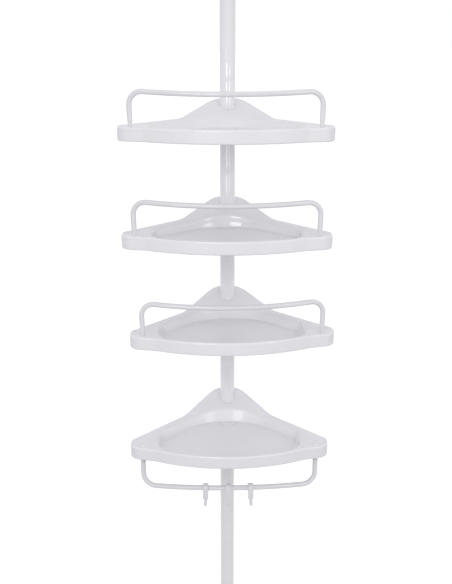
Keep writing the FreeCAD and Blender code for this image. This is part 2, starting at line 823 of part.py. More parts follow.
def rail_path():
    """The rail's centre line, from one leg's end to the other's."""
    hub = bulge - bar_radius
    distance = math.hypot(half_span, hub)
    sweep = math.atan2(half_span, -hub) - math.acos(bar_radius / distance)
    corner = bar_point(half_span, 0)
    arc_end = bar_point(bar_radius * math.sin(sweep), hub + bar_radius * math.cos(sweep))
    inward = arc_end - corner
    inward.normalize()
    downward = Vector(0, 0, -1)
    turn = math.pi - inward.getAngle(downward)
    trim = bend * math.tan(turn / 2)
    leg_end = Vector(corner.x, corner.y, value("rail_stand_off"))
    bend_start = corner + downward * trim
    bend_end = corner + inward * trim
    halfway = inward + downward
    halfway.normalize()
    bend_hub = corner + halfway * (bend / math.cos(turn / 2))
    right = [(leg_end, bend_start), (bend_start, bend_hub - halfway * bend, bend_end),
             (bend_end, arc_end)]
    left = [[Vector(-p.x, p.y, p.z) for p in reversed(run)] for run in reversed(right)]
    bar = (arc_end, bar_point(0, bulge), Vector(-arc_end.x, arc_end.y, arc_end.z))
    curves = [Part.Arc(*run) if len(run) == 3 else Part.LineSegment(*run)
              for run in right + [bar] + left]
    return Part.Wire([curve.toShape() for curve in curves])


rail_line = doc.addObject("Part::Feature", "rail_line")
rail_line.Shape = rail_path()


def rail_sweep(radius):
    section = doc.addObject("Part::Circle", "rail_section")
    bind(section, Radius=radius)
    move(section, "ear_hole_x", "-ear_hole_y", "rail_stand_off")
    sweep = doc.addObject("Part::Sweep", "rail_sweep")
    sweep.Sections = [section]
    sweep.Spine = (rail_line, ["Edge%d" % (n + 1) for n in range(len(rail_line.Shape.Edges))])
    sweep.Solid = True
    return sweep


rail = cut(rail_sweep("rail_radius"), rail_sweep("rail_bore"))
screw_pilot = "screw_radius + press_gap"
pegs = []
screws = []
ear_holes = []
for side in ("", "-"):
    at = {"x": side + "ear_hole_x", "y": "-ear_hole_y"}
    pegs.append(cut(
        cylinder("peg_radius", "peg_in_ear + rail_stand_off + peg_in_tube", "-peg_in_ear", **at),
        cylinder(screw_pilot, "screw_bite + screw_radius", "-peg_in_ear", **at)))
    head = cylinder("screw_head_radius", "screw_head_height", "screw_seat - screw_head_height",
                    **at)
    shank = cylinder("screw_radius", "screw_bite - peg_in_ear - screw_seat", "screw_seat", **at)
    slots = [box(length, width, "driver_slot_depth", "screw_seat - screw_head_height", **at)
             for length, width in (("screw_head_radius", "driver_slot"),
                                   ("driver_slot", "screw_head_radius"))]
    screws.append(cut(fuse(head, shank), *slots))
    ear_holes += [
        cylinder("peg_radius + press_gap", "peg_in_ear * 2", "-peg_in_ear", **at),
        cylinder("screw_radius + screw_hole_gap", "band_height", "-band_height", **at),
        cylinder("screw_head_radius + screw_seat_gap", "band_height", "screw_seat - band_height",
                 **at)]

# ----------------------------------------------------------------------------
# Shelves: three with a guard rail above, the lowest with the rail below
# ----------------------------------------------------------------------------
over = Placement()
under = Placement(Vector(0, 0, -value("band_height")), Rotation(Vector(0, 1, 0), 180))
trays = {}
for name, flip in (("above", over), ("below", under)):
    holes = group(ear_holes, flip)
    trays[name] = cut(shell, socket, deck_hole, *drains, holes)

# the split cone that a tray's weight wedges against the pole
sleeve = new_body("sleeve")
revolve(sleeve, [
    ("sleeve_bore", "sleeve_flange_top - sleeve_flange_height"),
    ("sleeve_bottom_radius + sleeve_flange", "sleeve_flange_top - sleeve_flange_height"),
    ("sleeve_bottom_radius + sleeve_flange", "sleeve_flange_top"),
    ("sleeve_bottom_radius", "sleeve_flange_top"),
    ("sleeve_bottom_radius", "-band_height"),
    ("sleeve_top_radius", "sleeve_top"),
    ("sleeve_bore", "sleeve_top"),
])
slit_sketch = new_sketch(sleeve, "slit_profile", "XZ_Plane")
draw_polygon(slit_sketch, [
    ("-sleeve_slit / 2", "-band_height * 2"),
    ("sleeve_slit / 2", "-band_height * 2"),
    ("sleeve_slit / 2", "band_height * 2"),
    ("-sleeve_slit / 2", "band_height * 2"),
])
pocket(sleeve, slit_sketch, "pole_radius * 3", "slit", Reversed=False)

places = {}
for number in (1, 2, 3, 4):
    rim = Vector(0, 0, value("rim_height_%d" % number))
    places[number] = Placement(rim, Rotation(Vector(0, 0, 1), value("turn_angle_%d" % number)))
    lowest = number == 4
    kit_place = places[number] * (under if lowest else over)
    tray = trays["below" if lowest else "above"]
    node(group([tray], places[number]), "tray_%d" % number)
    node(group([sleeve], places[number]), "grip_sleeve_%d" % number)
    node(group([rail], kit_place), "towel_rail" if lowest else "guard_rail_%d" % number)
    node(group(pegs, kit_place), "rail_pegs_%d" % number)
    node(group(screws, kit_place), "rail_screws_%d" % number)

# ----------------------------------------------------------------------------
# Hooks: a split ring round the bar, a flat tongue and a round turned-up tip
# ----------------------------------------------------------------------------
# drawn in the plane across the bar, with the bar's centre at the origin and the
# user's side at negative first coordinate
ring_body = new_body("hook_ring")
ring_sketch = new_sketch(ring_body, "ring_profile", "YZ_Plane")
bore = value("hook_bore")
ring = value("hook_ring")
half_mouth = value("hook_mouth_angle") / 2
mouth_low = direction(-half_mouth)
mouth_high = direction(half_mouth)
draw_curves(ring_sketch, [
    (mouth_high * bore, direction(180) * bore, mouth_low * bore),
    (mouth_high * ring, direction(180) * ring, mouth_low * ring),
    (mouth_high * bore, mouth_high * ring),
    (mouth_low * bore, mouth_low * ring),
])
pad(ring_body, ring_sketch, "hook_width", "ring", Midplane=True)
tongue_sketch = new_sketch(ring_body, "tongue_profile", "XZ_Plane", "hook_ring - hook_tongue")
draw_polygon(tongue_sketch, [
    ("-hook_width / 2", "0"),
    ("-hook_width / 2", "hook_taper - hook_drop"),
    ("-hook_tip_radius", "-hook_drop"),
    ("hook_tip_radius", "-hook_drop"),
    ("hook_width / 2", "hook_taper - hook_drop"),
    ("hook_width / 2", "0"),
])
pad(ring_body, tongue_sketch, "hook_tongue", "tongue")

stem = value("hook_tongue / 2 - hook_ring")
curl = value("hook_tip_reach") / 2
curl_level = curl - value("hook_drop + hook_curl_drop")
tip_point = Vector(0, stem - 2 * curl, curl_level + value("hook_tip_rise"))
hook_line = doc.addObject("Part::Feature", "hook_line")
hook_line.Shape = Part.Wire([
    Part.LineSegment(Vector(0, stem, value("hook_tongue - hook_drop")),
                     Vector(0, stem, curl_level)).toShape(),
    Part.Arc(Vector(0, stem, curl_level), Vector(0, stem - curl, curl_level - curl),
             Vector(0, stem - 2 * curl, curl_level)).toShape(),
    Part.LineSegment(Vector(0, stem - 2 * curl, curl_level), tip_point).toShape(),
])
tip_section = doc.addObject("Part::Circle", "tip_section")
bind(tip_section, Radius="hook_tip_radius")
move(tip_section, y="hook_tongue / 2 - hook_ring", z="hook_tongue - hook_drop")
tip_rod = doc.addObject("Part::Sweep", "tip_rod")
tip_rod.Sections = [tip_section]
tip_rod.Spine = (hook_line, ["Edge1", "Edge2", "Edge3"])
tip_rod.Solid = True
tip_end = doc.addObject("Part::Sphere", "tip_end")
bind(tip_end, Radius="hook_tip_radius")
tip_end.Placement = Placement(tip_point, Rotation())
hook = fuse(ring_body, tip_rod, tip_end)

# a hook swings round the axis of the bar's arc, so it follows the bar as it slides
bar_hub = bar_point(0, bulge - bar_radius)
bar_axis = Vector(0, -math.sin(bar_dip), math.cos(bar_dip))
hang = Placement(bar_point(0, bulge), Rotation(Vector(0, 1, 0), 180))
for name in ("left", "middle", "right"):
    along = Placement(Vector(), Rotation(bar_axis, -value("hook_angle_%s" % name)), bar_hub)
    node(group([hook], places[4] * under * along * hang), "hook_%s" % name)

# ----------------------------------------------------------------------------
# Checks and files
# ----------------------------------------------------------------------------
doc.recompute()
for item in doc.Objects:
    if "Invalid" in item.State or "Error" in item.State:
        raise RuntimeError("%s did not build: %s" % (item.Label, item.State))
for item in nodes:
    if item.Shape.isNull() or not item.Shape.isValid():
        raise RuntimeError("%s has no valid shape" % item.Label)

os.makedirs("parts", exist_ok=True)
for item in nodes:
    item.Shape.exportStep("parts/%s.step" % item.Label)
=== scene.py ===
"""Looks of the tension pole shelf unit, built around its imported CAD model.

Metres, +Z up, the user stands at -Y. The pole's axis is the Z axis and the floor is z = 0.
Shapes are worked out in millimetres and go into their meshes in metres. A tray and the rail
on it are worked out about the pole's axis with the tray's rim at z = 0, and then placed.
"""
import json
import math

import bpy
import numpy as np
from mathutils import Matrix, Vector


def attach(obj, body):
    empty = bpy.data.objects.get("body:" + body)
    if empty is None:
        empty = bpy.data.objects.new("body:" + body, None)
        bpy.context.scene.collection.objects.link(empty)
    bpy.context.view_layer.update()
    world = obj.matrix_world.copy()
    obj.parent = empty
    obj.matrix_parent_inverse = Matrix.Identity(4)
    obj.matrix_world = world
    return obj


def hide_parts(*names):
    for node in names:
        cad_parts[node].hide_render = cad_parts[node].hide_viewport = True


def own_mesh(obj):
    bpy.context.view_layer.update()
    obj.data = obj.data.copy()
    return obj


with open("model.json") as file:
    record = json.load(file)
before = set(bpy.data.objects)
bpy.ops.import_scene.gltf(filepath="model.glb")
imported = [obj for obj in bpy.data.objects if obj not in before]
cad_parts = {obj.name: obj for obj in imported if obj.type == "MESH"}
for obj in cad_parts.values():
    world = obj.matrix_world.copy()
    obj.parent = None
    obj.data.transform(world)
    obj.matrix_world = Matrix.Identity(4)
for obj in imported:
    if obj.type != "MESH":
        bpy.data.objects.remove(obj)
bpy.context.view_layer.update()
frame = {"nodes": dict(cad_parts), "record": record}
nodes = frame["nodes"]

# heights of the rims and turns about the pole in degrees, top shelf first
RIMS = (925.0, 763.5, 606.4, 416.4)
TURNS = (-0.97, -0.37, 3.09, 1.19)
# how far along the towel rail's arc each hook hangs, in degrees from its middle
HOOK_ANGLES = (("left", -4.79), ("middle", -0.25), ("right", 4.17))
# edges that turn by more than this many degrees stay sharp
SHARP_EDGE = 32.0


# ----------------------------------------------------------------------------
# Mesh making
# ----------------------------------------------------------------------------
def grid_faces(rows, columns, close_rows=False, close_columns=False):
    """Quads between neighbouring points of a grid, indexed row by row."""
    r = np.arange(rows if close_rows else rows - 1)[:, None]
    c = np.arange(columns if close_columns else columns - 1)[None, :]
    r2, c2 = (r + 1) % rows, (c + 1) % columns
    quads = np.stack([r * columns + c, r2 * columns + c, r2 * columns + c2, r * columns + c2], -1)
    return quads.reshape(-1, 4)


def stacked(rings):
    """A closed skin from rings of equal length; the first and last close on their middles."""
    rings = np.asarray(rings)
    count, size = rings.shape[:2]
    points = np.vstack([rings.reshape(-1, 3), rings[0].mean(0), rings[-1].mean(0)])
    step = np.arange(size)
    ahead = (step + 1) % size
    last = (count - 1) * size
    start = np.stack([np.full(size, count * size), step, ahead], -1)
    end = np.stack([np.full(size, count * size + 1), ahead + last, step + last], -1)
    return points, [grid_faces(count, size, close_columns=True), start, end]


def joined(*skins):
    """Points and blocks of faces of several skins as one."""
    sizes = np.cumsum([0] + [len(points) for points, _ in skins])
    faces = [block + base for (_, blocks), base in zip(skins, sizes) for block in blocks]
    return np.vstack([points for points, _ in skins]), faces


def outward(points, blocks):
    """The faces, turned over where the skin's signed volume says that they point inward."""
    volume = 0.0
    for block in blocks:
        for k in range(1, block.shape[1] - 1):
            a, b, c = points[block[:, 0]], points[block[:, k]], points[block[:, k + 1]]
            volume += np.einsum("ij,ij->", a, np.cross(b, c))
    return blocks if volume > 0 else [block[:, ::-1] for block in blocks]


def make_piece(name, *skins):
    """One mesh object from skins of points in millimetres."""
    points, blocks = joined(*[(p, outward(p, f)) for p, f in skins])
    mesh = bpy.data.meshes.new(name)
    mesh.from_pydata((points / 1000.0).tolist(), [], [f for b in blocks for f in b.tolist()])
    piece = bpy.data.objects.new(name, mesh)
    bpy.context.scene.collection.objects.link(piece)
    return piece


def combine(piece, tool, operation):
    """Unites the piece's mesh with the tool's, or cuts it by it; the tool is used up."""
    modifier = piece.modifiers.new("combine", "BOOLEAN")
    modifier.operation, modifier.solver, modifier.object = operation, "EXACT", tool
    scene_now = bpy.context.evaluated_depsgraph_get()
    mesh = bpy.data.meshes.new_from_object(piece.evaluated_get(scene_now))
    piece.modifiers.clear()
    piece.data = mesh
    bpy.data.objects.remove(tool)


def share(values, start, end):
    """0 up to start, 1 from end on, and evenly rising between them."""
    return np.clip((values - start) / (end - start), 0, 1)


def eased(t):
    """A share t from 0 to 1 that leaves 0 and reaches 1 softly: 3 t squared less 2 t cubed."""
    return t * t * (3 - 2 * t)


def around(count):
    """Evenly spaced angles once round a circle, the last one short of the first."""
    return np.linspace(0, 2 * math.pi, count, endpoint=False)


def turned_solid(profile, x=0.0, y=0.0, count=64, lift=None):
    """A profile carried round an upright axis at x, y: at each of its radii and heights, a
    circle of that radius at that height. Its ends lie on the axis. lift, if given, changes
    the circles before they are joined."""
    radius, height = np.asarray(profile, float)[1:-1].T
    a = around(count)
    rings = np.stack([x + radius[:, None] * np.cos(a), y + radius[:, None] * np.sin(a),
                      np.repeat(height[:, None], count, 1)], -1)
    return stacked(rings if lift is None else lift(rings))


def carried(path, sections, axis):
    """Sections carried along a path, one row of points for each point of the path. There the
    section's first direction is the part of axis that is across the path, and its second is
    square to that and to the path."""
    tangent = np.gradient(path, axis=0)
    tangent /= np.linalg.norm(tangent, axis=1)[:, None]
    first = np.asarray(axis, float) - tangent * (tangent @ np.asarray(axis, float))[:, None]
    first /= np.linalg.norm(first, axis=1)[:, None]
    second = np.cross(tangent, first)
    return (path[:, None] + sections[..., :1] * first[:, None]
            + sections[..., 1:] * second[:, None])


# ----------------------------------------------------------------------------
# Tray: outline and pan as points with outward normals, deck as a height
# ----------------------------------------------------------------------------
# the front: radius of its bow, how far forward it reaches, and the trays' half width
BOW, FRONT, SIDE = 267.2, 197.7, 159.8
# an ear: radius, how far forward it reaches, how many degrees its inner edge slants, and the
# radius that turns its side to the back
EAR, EAR_FRONT, EAR_SLANT, EAR_BACK = 20.0, 164.2, 13.0, 16.0
# the back: how many degrees its edges face away from the side, how far behind the axis they
# would meet, and the radius that rounds them off
CORNER_ANGLE, CORNER_REACH, CORNER = 42.3, 45.3, 40.0
# radius of the hollow between bow and ear
NOTCH = 30.0
# the band below the rim: height, draft in degrees, and the thickness of every wall
BAND, DRAFT, WALL = 19.7, 0.5, 2.2
# the pan: depth, lean of its walls in degrees, and at its floor the distance from the bow and
# the half width
PAN_DEPTH, PAN_DRAFT, PAN_MARGIN, PAN_SIDE = 15.0, 16.0, 10.8, 110.5
# the pan's back: how far in front of the axis it lies, half the length of its flat, the radius
# beside that, and how many degrees the edge after it has turned
PAN_BACK, PAN_FLAT, PAN_ROUND, PAN_ANGLE = 31.5, 3.0, 96.0, 47.0
# radii of the pan's rear and front corners
PAN_REAR, PAN_FRONT = 24.0, 38.0
# the bead along the rim: its height in front and behind, and how far forward it is full and
# starts to grow
LIP, REAR_LIP, LIP_FULL, LIP_BACK = 1.3, 0.8, 150.0, 110.0
# radius of the turn from deck to band, width of the bead inside it, radius of the hem at the
# band's foot, and how much the hem's inner edge is eased
TURN, BEAD_WIDTH, HEM, HEM_EASE = 2.4, 2.4, 2.2, 0.15
# the fillet at the foot of the pan's wall, and how much wider it is at the two sides
FOOT, FOOT_SIDE = 1.4, 3.2
# the edge from that wall to the deck in front, and how much wider it is behind and at the sides
EDGE, EDGE_BEHIND, EDGE_SIDE = 1.6, 2.0, 3.8
# the deck: where it starts to sweep up, the sweep's radius and the slope's rise
SWEEP_START, SWEEP, SLOPE = -46.0, 33.0, math.radians(25.0)
# the deck's crest: where it starts, its radius, and the rise at which it ends
CREST_START, CREST, CREST_END = 2.0, 133.0, math.radians(14.0)
# middle of the right ear's hole, of the bow's circle and of the pan
EAR_HOLE = (140.0, -148.5)
BOW_HUB = np.array([0.0, BOW - FRONT])
PAN_MIDDLE = np.array([0.0, -112.0, 0.0])


def angle_of(vector):
    """The direction of a vector, as an angle from the x axis."""
    return math.atan2(vector[1], vector[0])


def arc_run(hub, radius, start, end, count, hollow=False, skip=0):
    """Points on a circle from one angle to another and their outward normals."""
    a = np.linspace(start, end, count)[skip:]
    normal = np.stack([np.cos(a), np.sin(a)], -1)
    return np.asarray(hub) + normal * radius, -normal if hollow else normal


def line_run(start, end, normal, count):
    """Points on a line without its ends, which belong to the arcs beside it."""
    t = np.linspace(0, 1, count + 2)[1:-1, None]
    points = np.asarray(start) * (1 - t) + np.asarray(end) * t
    return points, np.repeat(np.asarray(normal, float)[None], count, 0)


def whole_loop(runs):
    """The right half, front to back, and its mirror image as one closed loop."""
    points = np.vstack([p for p, _ in runs])
    normals = np.vstack([n for _, n in runs])
    flip = np.array([-1.0, 1.0])
    return (np.vstack([points, points[-2:0:-1] * flip]),
            np.vstack([normals, normals[-2:0:-1] * flip]))


def outline_loop():
    """The rim. In front it is an arc of radius BOW about BOW_HUB; a hollow arc of radius NOTCH
    touches that and the ear's slanting edge; an arc of radius EAR goes round the ear; the side
    is straight; an arc of radius EAR_BACK turns to the straight back edge, and an arc of radius
    CORNER joins that to its mirror image behind the pole."""
    slant = math.radians(EAR_SLANT)
    ear = np.array([SIDE - EAR, EAR - EAR_FRONT])
    edge_normal = np.array([math.sin(slant), -math.cos(slant)])
    inward = np.array([-math.cos(slant), -math.sin(slant)])
    # the notch's hub lies its radius outside both the bow and the ear's straight edge
    start = ear + edge_normal * (EAR + NOTCH) - BOW_HUB
    along = start @ inward
    root = math.sqrt(along * along - start @ start + (BOW + NOTCH) ** 2)
    reach = min(r for r in (root - along, -root - along) if r > 0)
    notch = start + inward * reach + BOW_HUB
    bow_end = angle_of(notch - BOW_HUB)
    to_bow, to_edge = angle_of(BOW_HUB - notch), angle_of(-edge_normal)
    up = math.radians(CORNER_ANGLE)
    slope = np.array([math.cos(up), math.sin(up)])
    # hubs of the two arcs at the back edge, each its radius inside that edge
    level = slope[1] * CORNER_REACH
    rear = np.array([SIDE - EAR_BACK, (level - EAR_BACK - slope[0] * (SIDE - EAR_BACK)) / slope[1]])
    tip = np.array([0.0, (level - CORNER) / slope[1]])
    # the runs have as many points in all as those of the pan
    return whole_loop([
        arc_run(BOW_HUB, BOW, -math.pi / 2, bow_end, 60),
        arc_run(notch, NOTCH, to_bow, to_edge, 8, hollow=True, skip=1),
        line_run(notch - edge_normal * NOTCH, ear + edge_normal * EAR, edge_normal, 3),
        arc_run(ear, EAR, angle_of(edge_normal), 0, 22),
        line_run((SIDE, ear[1]), (SIDE, rear[1]), (1, 0), 14),
        arc_run(rear, EAR_BACK, 0, up, 12),
        line_run(rear + slope * EAR_BACK, tip + slope * CORNER, slope, 48),
        arc_run(tip, CORNER, up, math.pi / 2, 24),
    ])


def pan_loop():
    """The pan at its floor, in as many points as the outline and facing the same parts of it:
    an arc about BOW_HUB in front, an arc of radius PAN_FRONT, the straight side, an arc of
    radius PAN_REAR, a straight edge, an arc of radius PAN_ROUND and a short flat behind."""
    radius = BOW - PAN_MARGIN
    side_x = PAN_SIDE - PAN_FRONT
    front = np.array([side_x, BOW_HUB[1] - math.sqrt((radius - PAN_FRONT) ** 2 - side_x ** 2)])
    a = math.radians(PAN_ANGLE)
    slope = np.array([math.sin(a), math.cos(a)])
    hub = np.array([PAN_FLAT, -PAN_BACK - PAN_ROUND])
    level = slope @ hub + PAN_ROUND - PAN_REAR
    rear = np.array([PAN_SIDE - PAN_REAR, (level - slope[0] * (PAN_SIDE - PAN_REAR)) / slope[1]])
    bow_end = angle_of(front - BOW_HUB)
    up = angle_of(slope)
    flat = np.linspace(PAN_FLAT, 0, 15)[1:]
    flat_run = np.stack([flat, np.full(len(flat), -PAN_BACK)], -1)
    return whole_loop([
        arc_run(BOW_HUB, radius, -math.pi / 2, bow_end, 60),
        arc_run(front, PAN_FRONT, bow_end, 0, 33, skip=1),
        line_run((PAN_SIDE, front[1]), (PAN_SIDE, rear[1]), (1, 0), 14),
        arc_run(rear, PAN_REAR, 0, up, 12),
        line_run(rear + slope * PAN_REAR, hub + slope * PAN_ROUND, slope, 26),
        arc_run(hub, PAN_ROUND, up, math.pi / 2, 32),
        (flat_run, np.repeat([[0.0, 1.0]], len(flat), 0)),
    ])


def deck(y):
    """Height of the deck above the rim at y. It is level up to SWEEP_START, curves up in an arc
    of radius SWEEP, rises at the angle SLOPE up to CREST_START, curves back in an arc of radius
    CREST until it rises at CREST_END, and is level again behind that."""
    sweep_end = SWEEP_START + SWEEP * math.sin(SLOPE)
    sweep_top = SWEEP * (1 - math.cos(SLOPE))
    slope_top = sweep_top + (CREST_START - sweep_end) * math.tan(SLOPE)
    crest_end = CREST_START + CREST * (math.sin(SLOPE) - math.sin(CREST_END))
    y = np.asarray(y, float)
    low = SWEEP - np.sqrt(SWEEP ** 2 - np.clip(y - SWEEP_START, 0, sweep_end - SWEEP_START) ** 2)
    middle = sweep_top + (y - sweep_end) * math.tan(SLOPE)
    s = math.sin(SLOPE) - (np.clip(y, CREST_START, crest_end) - CREST_START) / CREST
    top = slope_top + CREST * (np.sqrt(1 - s * s) - math.cos(SLOPE))
    return np.where(y < sweep_end, low, np.where(y < CREST_START, middle, top))


def ring(loop, offset, height=None):
    """A loop moved along its normals and lifted to a height, or onto the deck without one."""
    points, normals = loop
    place = points + normals * np.broadcast_to(offset, (len(points),))[:, None]
    height = deck(place[:, 1]) if height is None else height
    return np.column_stack([place, np.broadcast_to(height, (len(points),))])


def between(start, end, count):
    """Rings evenly spaced from start to end, without start."""
    return [start + (end - start) * t for t in np.linspace(0, 1, count + 1)[1:]]


def bent(start, corner, end, count):
    """Rings on the parabola that leaves start towards corner and reaches end from it."""
    return [start * (1 - t) ** 2 + corner * 2 * t * (1 - t) + end * t ** 2
            for t in np.linspace(0, 1, count + 1)[1:]]


def on_deck(rings, drop=0.0):
    """Rings put at the deck's height, lowered by drop."""
    return [np.column_stack([r[:, :2], deck(r[:, 1]) - drop]) for r in rings]


def wall_reach(loop, drop):
    """How far out the pan's wall is where it meets the deck lowered by drop: its height there
    times its lean. That height depends on the reach, so it is worked out in a few rounds."""
    lean = math.tan(math.radians(PAN_DRAFT))
    points, normals = loop
    reach = np.full(len(points), PAN_DEPTH * lean)
    for _ in range(12):
        y = points[:, 1] + normals[:, 1] * (reach + drop)
        reach = (deck(y) - drop + PAN_DEPTH) * lean
    return reach + drop


def tray_skin():
    """The tray's skin in rings: pan floor, fillet, wall, edge, deck, bead, lip, band, hem, and
    back under the deck and the pan. A ring is the pan's or the rim's loop moved out along its
    normals, at a height; fillet and edge are parabolas, the bead is half a cosine wave, lip
    and hem are arcs. The bead is highest in front and lower behind the ears."""
    rim, pan = outline_loop(), pan_loop()
    lean, draft = math.tan(math.radians(PAN_DRAFT)), math.tan(math.radians(DRAFT))
    # how much the wall faces sideways, and how much it faces back
    sideways, backward = np.abs(pan[1][:, 0]), pan[1][:, 1]
    foot = FOOT + FOOT_SIDE * share(sideways, 0.74, 1.0)
    floor = ring(pan, -foot, -PAN_DEPTH)
    middle = PAN_MIDDLE - [0, 0, PAN_DEPTH]
    rings = [middle + (floor - middle) * t for t in np.linspace(0.03, 1, 10)]
    wall_foot = ring(pan, foot * lean, foot - PAN_DEPTH)
    rings += bent(floor, ring(pan, 0, -PAN_DEPTH), wall_foot, 5)
    reach = wall_reach(pan, 0)
    meet = ring(pan, reach)
    wider = EDGE_BEHIND + EDGE_SIDE * share(sideways, 0, 0.7) ** 2
    edge = EDGE + share(backward, -0.675, 0.225) * wider
    wall_top = ring(pan, reach - edge * lean, meet[:, 2] - edge)
    deck_edge = ring(pan, reach + edge)
    rings += between(wall_foot, wall_top, 6) + bent(wall_top, meet, deck_edge, 7)
    bead_foot = ring(rim, -TURN - BEAD_WIDTH)
    rings += on_deck(between(deck_edge, bead_foot, 33))
    bead = REAR_LIP + (LIP - REAR_LIP) * eased(share(-rim[0][:, 1], LIP_BACK, LIP_FULL))
    for s in np.linspace(0, 1, 6)[1:]:
        swell = ring(rim, -TURN - BEAD_WIDTH * (1 - s))
        swell[:, 2] += bead * (0.5 - 0.5 * math.cos(math.pi * s))
        rings.append(swell)
    top = rings[-1][:, 2]
    for a in np.radians(np.linspace(0, 90, 8)[1:]):
        rings.append(ring(rim, TURN * (math.sin(a) - 1), top + TURN * (math.cos(a) - 1)))
    for t in np.linspace(1, 0, 12)[1:]:
        z = HEM - BAND + (top - TURN + BAND - HEM) * t
        rings.append(ring(rim, np.minimum(z, 0) * draft, z))
    low = (HEM - BAND) * draft
    for a in np.radians(np.linspace(0, 78, 6)[1:]):
        rings.append(ring(rim, low - HEM * (1 - math.cos(a)), HEM * (1 - math.sin(a)) - BAND))
    # the inside of the band goes up to the deck's underside
    rings.append(ring(rim, low + HEM_EASE - WALL, HEM_EASE - BAND))
    under_top = ring(rim, -WALL)[:, 2] - WALL
    for t in np.linspace(0, 1, 8):
        z = 2 * HEM_EASE - BAND + (under_top + BAND - 2 * HEM_EASE) * t
        rings.append(ring(rim, np.minimum(z, 0) * draft - WALL, z))
    shell = ring(pan, wall_reach(pan, WALL))
    rings += on_deck(between(rings[-1], shell, 23), WALL)
    base = ring(pan, WALL * (1 - lean), -PAN_DEPTH - WALL)
    rings += between(rings[-1], base, 4)
    middle = PAN_MIDDLE - [0, 0, PAN_DEPTH + WALL]
    rings += [middle + (base - middle) * t for t in np.linspace(1, 0.04, 8)[1:]]
    return stacked(rings)


# under the deck: radii of the pole's boss and of a peg's boss, and the height of the latter
POST, BOSS, BOSS_TOP = 18.4, 7.8, -1.1
# ribs: half their thickness, and the heights of their lower and upper edges
RIB, RIB_LOW, RIB_HIGH = 0.9, -16.7, -1.2
# how far the ribs at the pole reach sideways, forward and back, and how much the forward end
# leans back, per height, with the pan's wall that it meets
ARM, FRONT_ARM, REAR_ARM, ARM_LEAN = 38.4, 30.4, 24.8, 0.25
# how far the ribs in the ears reach forward and back from the hole
EAR_RIB_FRONT, EAR_RIB_REAR = 14, 18
# the holes, as radii and heights that run out past the tray. The pole's: the sleeve's cone,
# then the collar that closes round the pole above the sleeve
POLE_HOLE = ((0, -BAND - 3), (16.2, -BAND - 3), (16.0, -BAND), (13.7, 10.4), (13.7, 12.7),
             (12.4, 12.9), (12.4, 60), (0, 60))
# a drain hole with its softened edge, the first row's y, the spacing across and between rows,
# and the places in the two rows
DRAIN = ((0, -25), (2, -25), (2, -15.35), (2.35, -15), (2.7, -14.65), (0, -14.65))
DRAIN_Y, DRAIN_STEP, DRAIN_ROW_STEP = -34.0, 9.5, 9.8
DRAIN_ROWS = ((-1.5, -0.5, 0.5, 1.5), (-1, 0, 1))
# an ear's hole where the rail stands on the ear: screw head, screw, peg
HOLE_RAIL_ABOVE = ((0, -25), (5.3, -25), (5.3, -16.7), (1.75, -16.7), (1.75, -10), (3.2, -10),
                   (3.2, 5), (0, 5))
# an ear's hole where the rail hangs from it: peg, screw, screw head in a shallow recess
HOLE_RAIL_BELOW = ((0, -25), (3.2, -25), (3.2, -9.7), (1.75, -9.7), (1.75, -3), (4.3, -3),
                   (4.3, -0.4), (4.8, 0.1), (4.8, 5), (0, 5))


def under_deck(rings):
    """The rings, with the topmost put just inside the deck above it."""
    rings = rings.copy()
    rings[-1, :, 2] = deck(rings[-1, :, 1]) - WALL / 2
    return rings


def upright_rib(left, right, front, rear):
    """A rib under the deck, as a closed skin: a rectangle at the two heights of its edges."""
    corners = np.array([(left, front), (right, front), (right, rear), (left, rear)])
    return stacked([np.column_stack([corners, np.full(4, z)]) for z in (RIB_HIGH, RIB_LOW)])


def tray_mouldings():
    """Two trays at the origin: one with rails above its ears, one with the rail below them.
    The skin is united with bosses, which are turned solids, and with ribs, and cut by the
    pole's hole, the drain holes and the ears' holes, which are turned solids."""
    skin = make_piece("tray_above", tray_skin())
    bosses = [turned_solid([(0, -BAND), (POST, -BAND), (POST, 0), (0, 0)], lift=under_deck)]
    stem_points, stem_faces = upright_rib(-RIB, RIB, -FRONT_ARM, REAR_ARM)
    stem_points[:, 1] += np.where(stem_points[:, 1] < -RIB,
                                  (stem_points[:, 2] - RIB_LOW) * ARM_LEAN, 0)
    ribs = [upright_rib(-ARM, ARM, -RIB, RIB)]
    for side in (1, -1):
        x, y = EAR_HOLE[0] * side, EAR_HOLE[1]
        bosses.append(turned_solid([(0, -BAND), (BOSS, -BAND), (BOSS, BOSS_TOP), (0, BOSS_TOP)],
                                   x, y))
        ribs.append(upright_rib(x - RIB, x + RIB, y - EAR_RIB_FRONT, y + EAR_RIB_REAR))
    combine(skin, make_piece("bosses", *bosses), "UNION")
    combine(skin, make_piece("ribs", *ribs), "UNION")
    combine(skin, make_piece("stem", (stem_points, stem_faces)), "UNION")
    below = skin.copy()
    below.data = skin.data.copy()
    below.name = "tray_below"
    bpy.context.scene.collection.objects.link(below)
    for piece, ear_hole in ((skin, HOLE_RAIL_ABOVE), (below, HOLE_RAIL_BELOW)):
        tools = [turned_solid(POLE_HOLE, count=96)]
        for row, columns in enumerate(DRAIN_ROWS):
            for column in columns:
                tools.append(turned_solid(DRAIN, DRAIN_STEP * column,
                                          DRAIN_Y - DRAIN_ROW_STEP * row, 28))
        for side in (1, -1):
            tools.append(turned_solid(ear_hole, EAR_HOLE[0] * side, EAR_HOLE[1], 40))
        combine(piece, make_piece("holes", *tools), "DIFFERENCE")
    return skin, below


# ----------------------------------------------------------------------------
# Rails: tubes with a bent corner at each end and a bar that bows and dips forward
# ----------------------------------------------------------------------------
# radii of the tube, of its bore and of its bent corners, and how far the bar is straight from
# the point where its line meets the leg's
RAIL, RAIL_BORE, BEND, STRAIGHT_END = 4.0, 3.2, 20.0, 24.0
# how far the bar bulges forward, its height over the rim at the corners, and where legs start
BULGE, RISE, STAND_OFF = 20.96, 52.1, 8.0
# how steeply the bar's plane dips towards the user
DIP = math.radians(10.6)
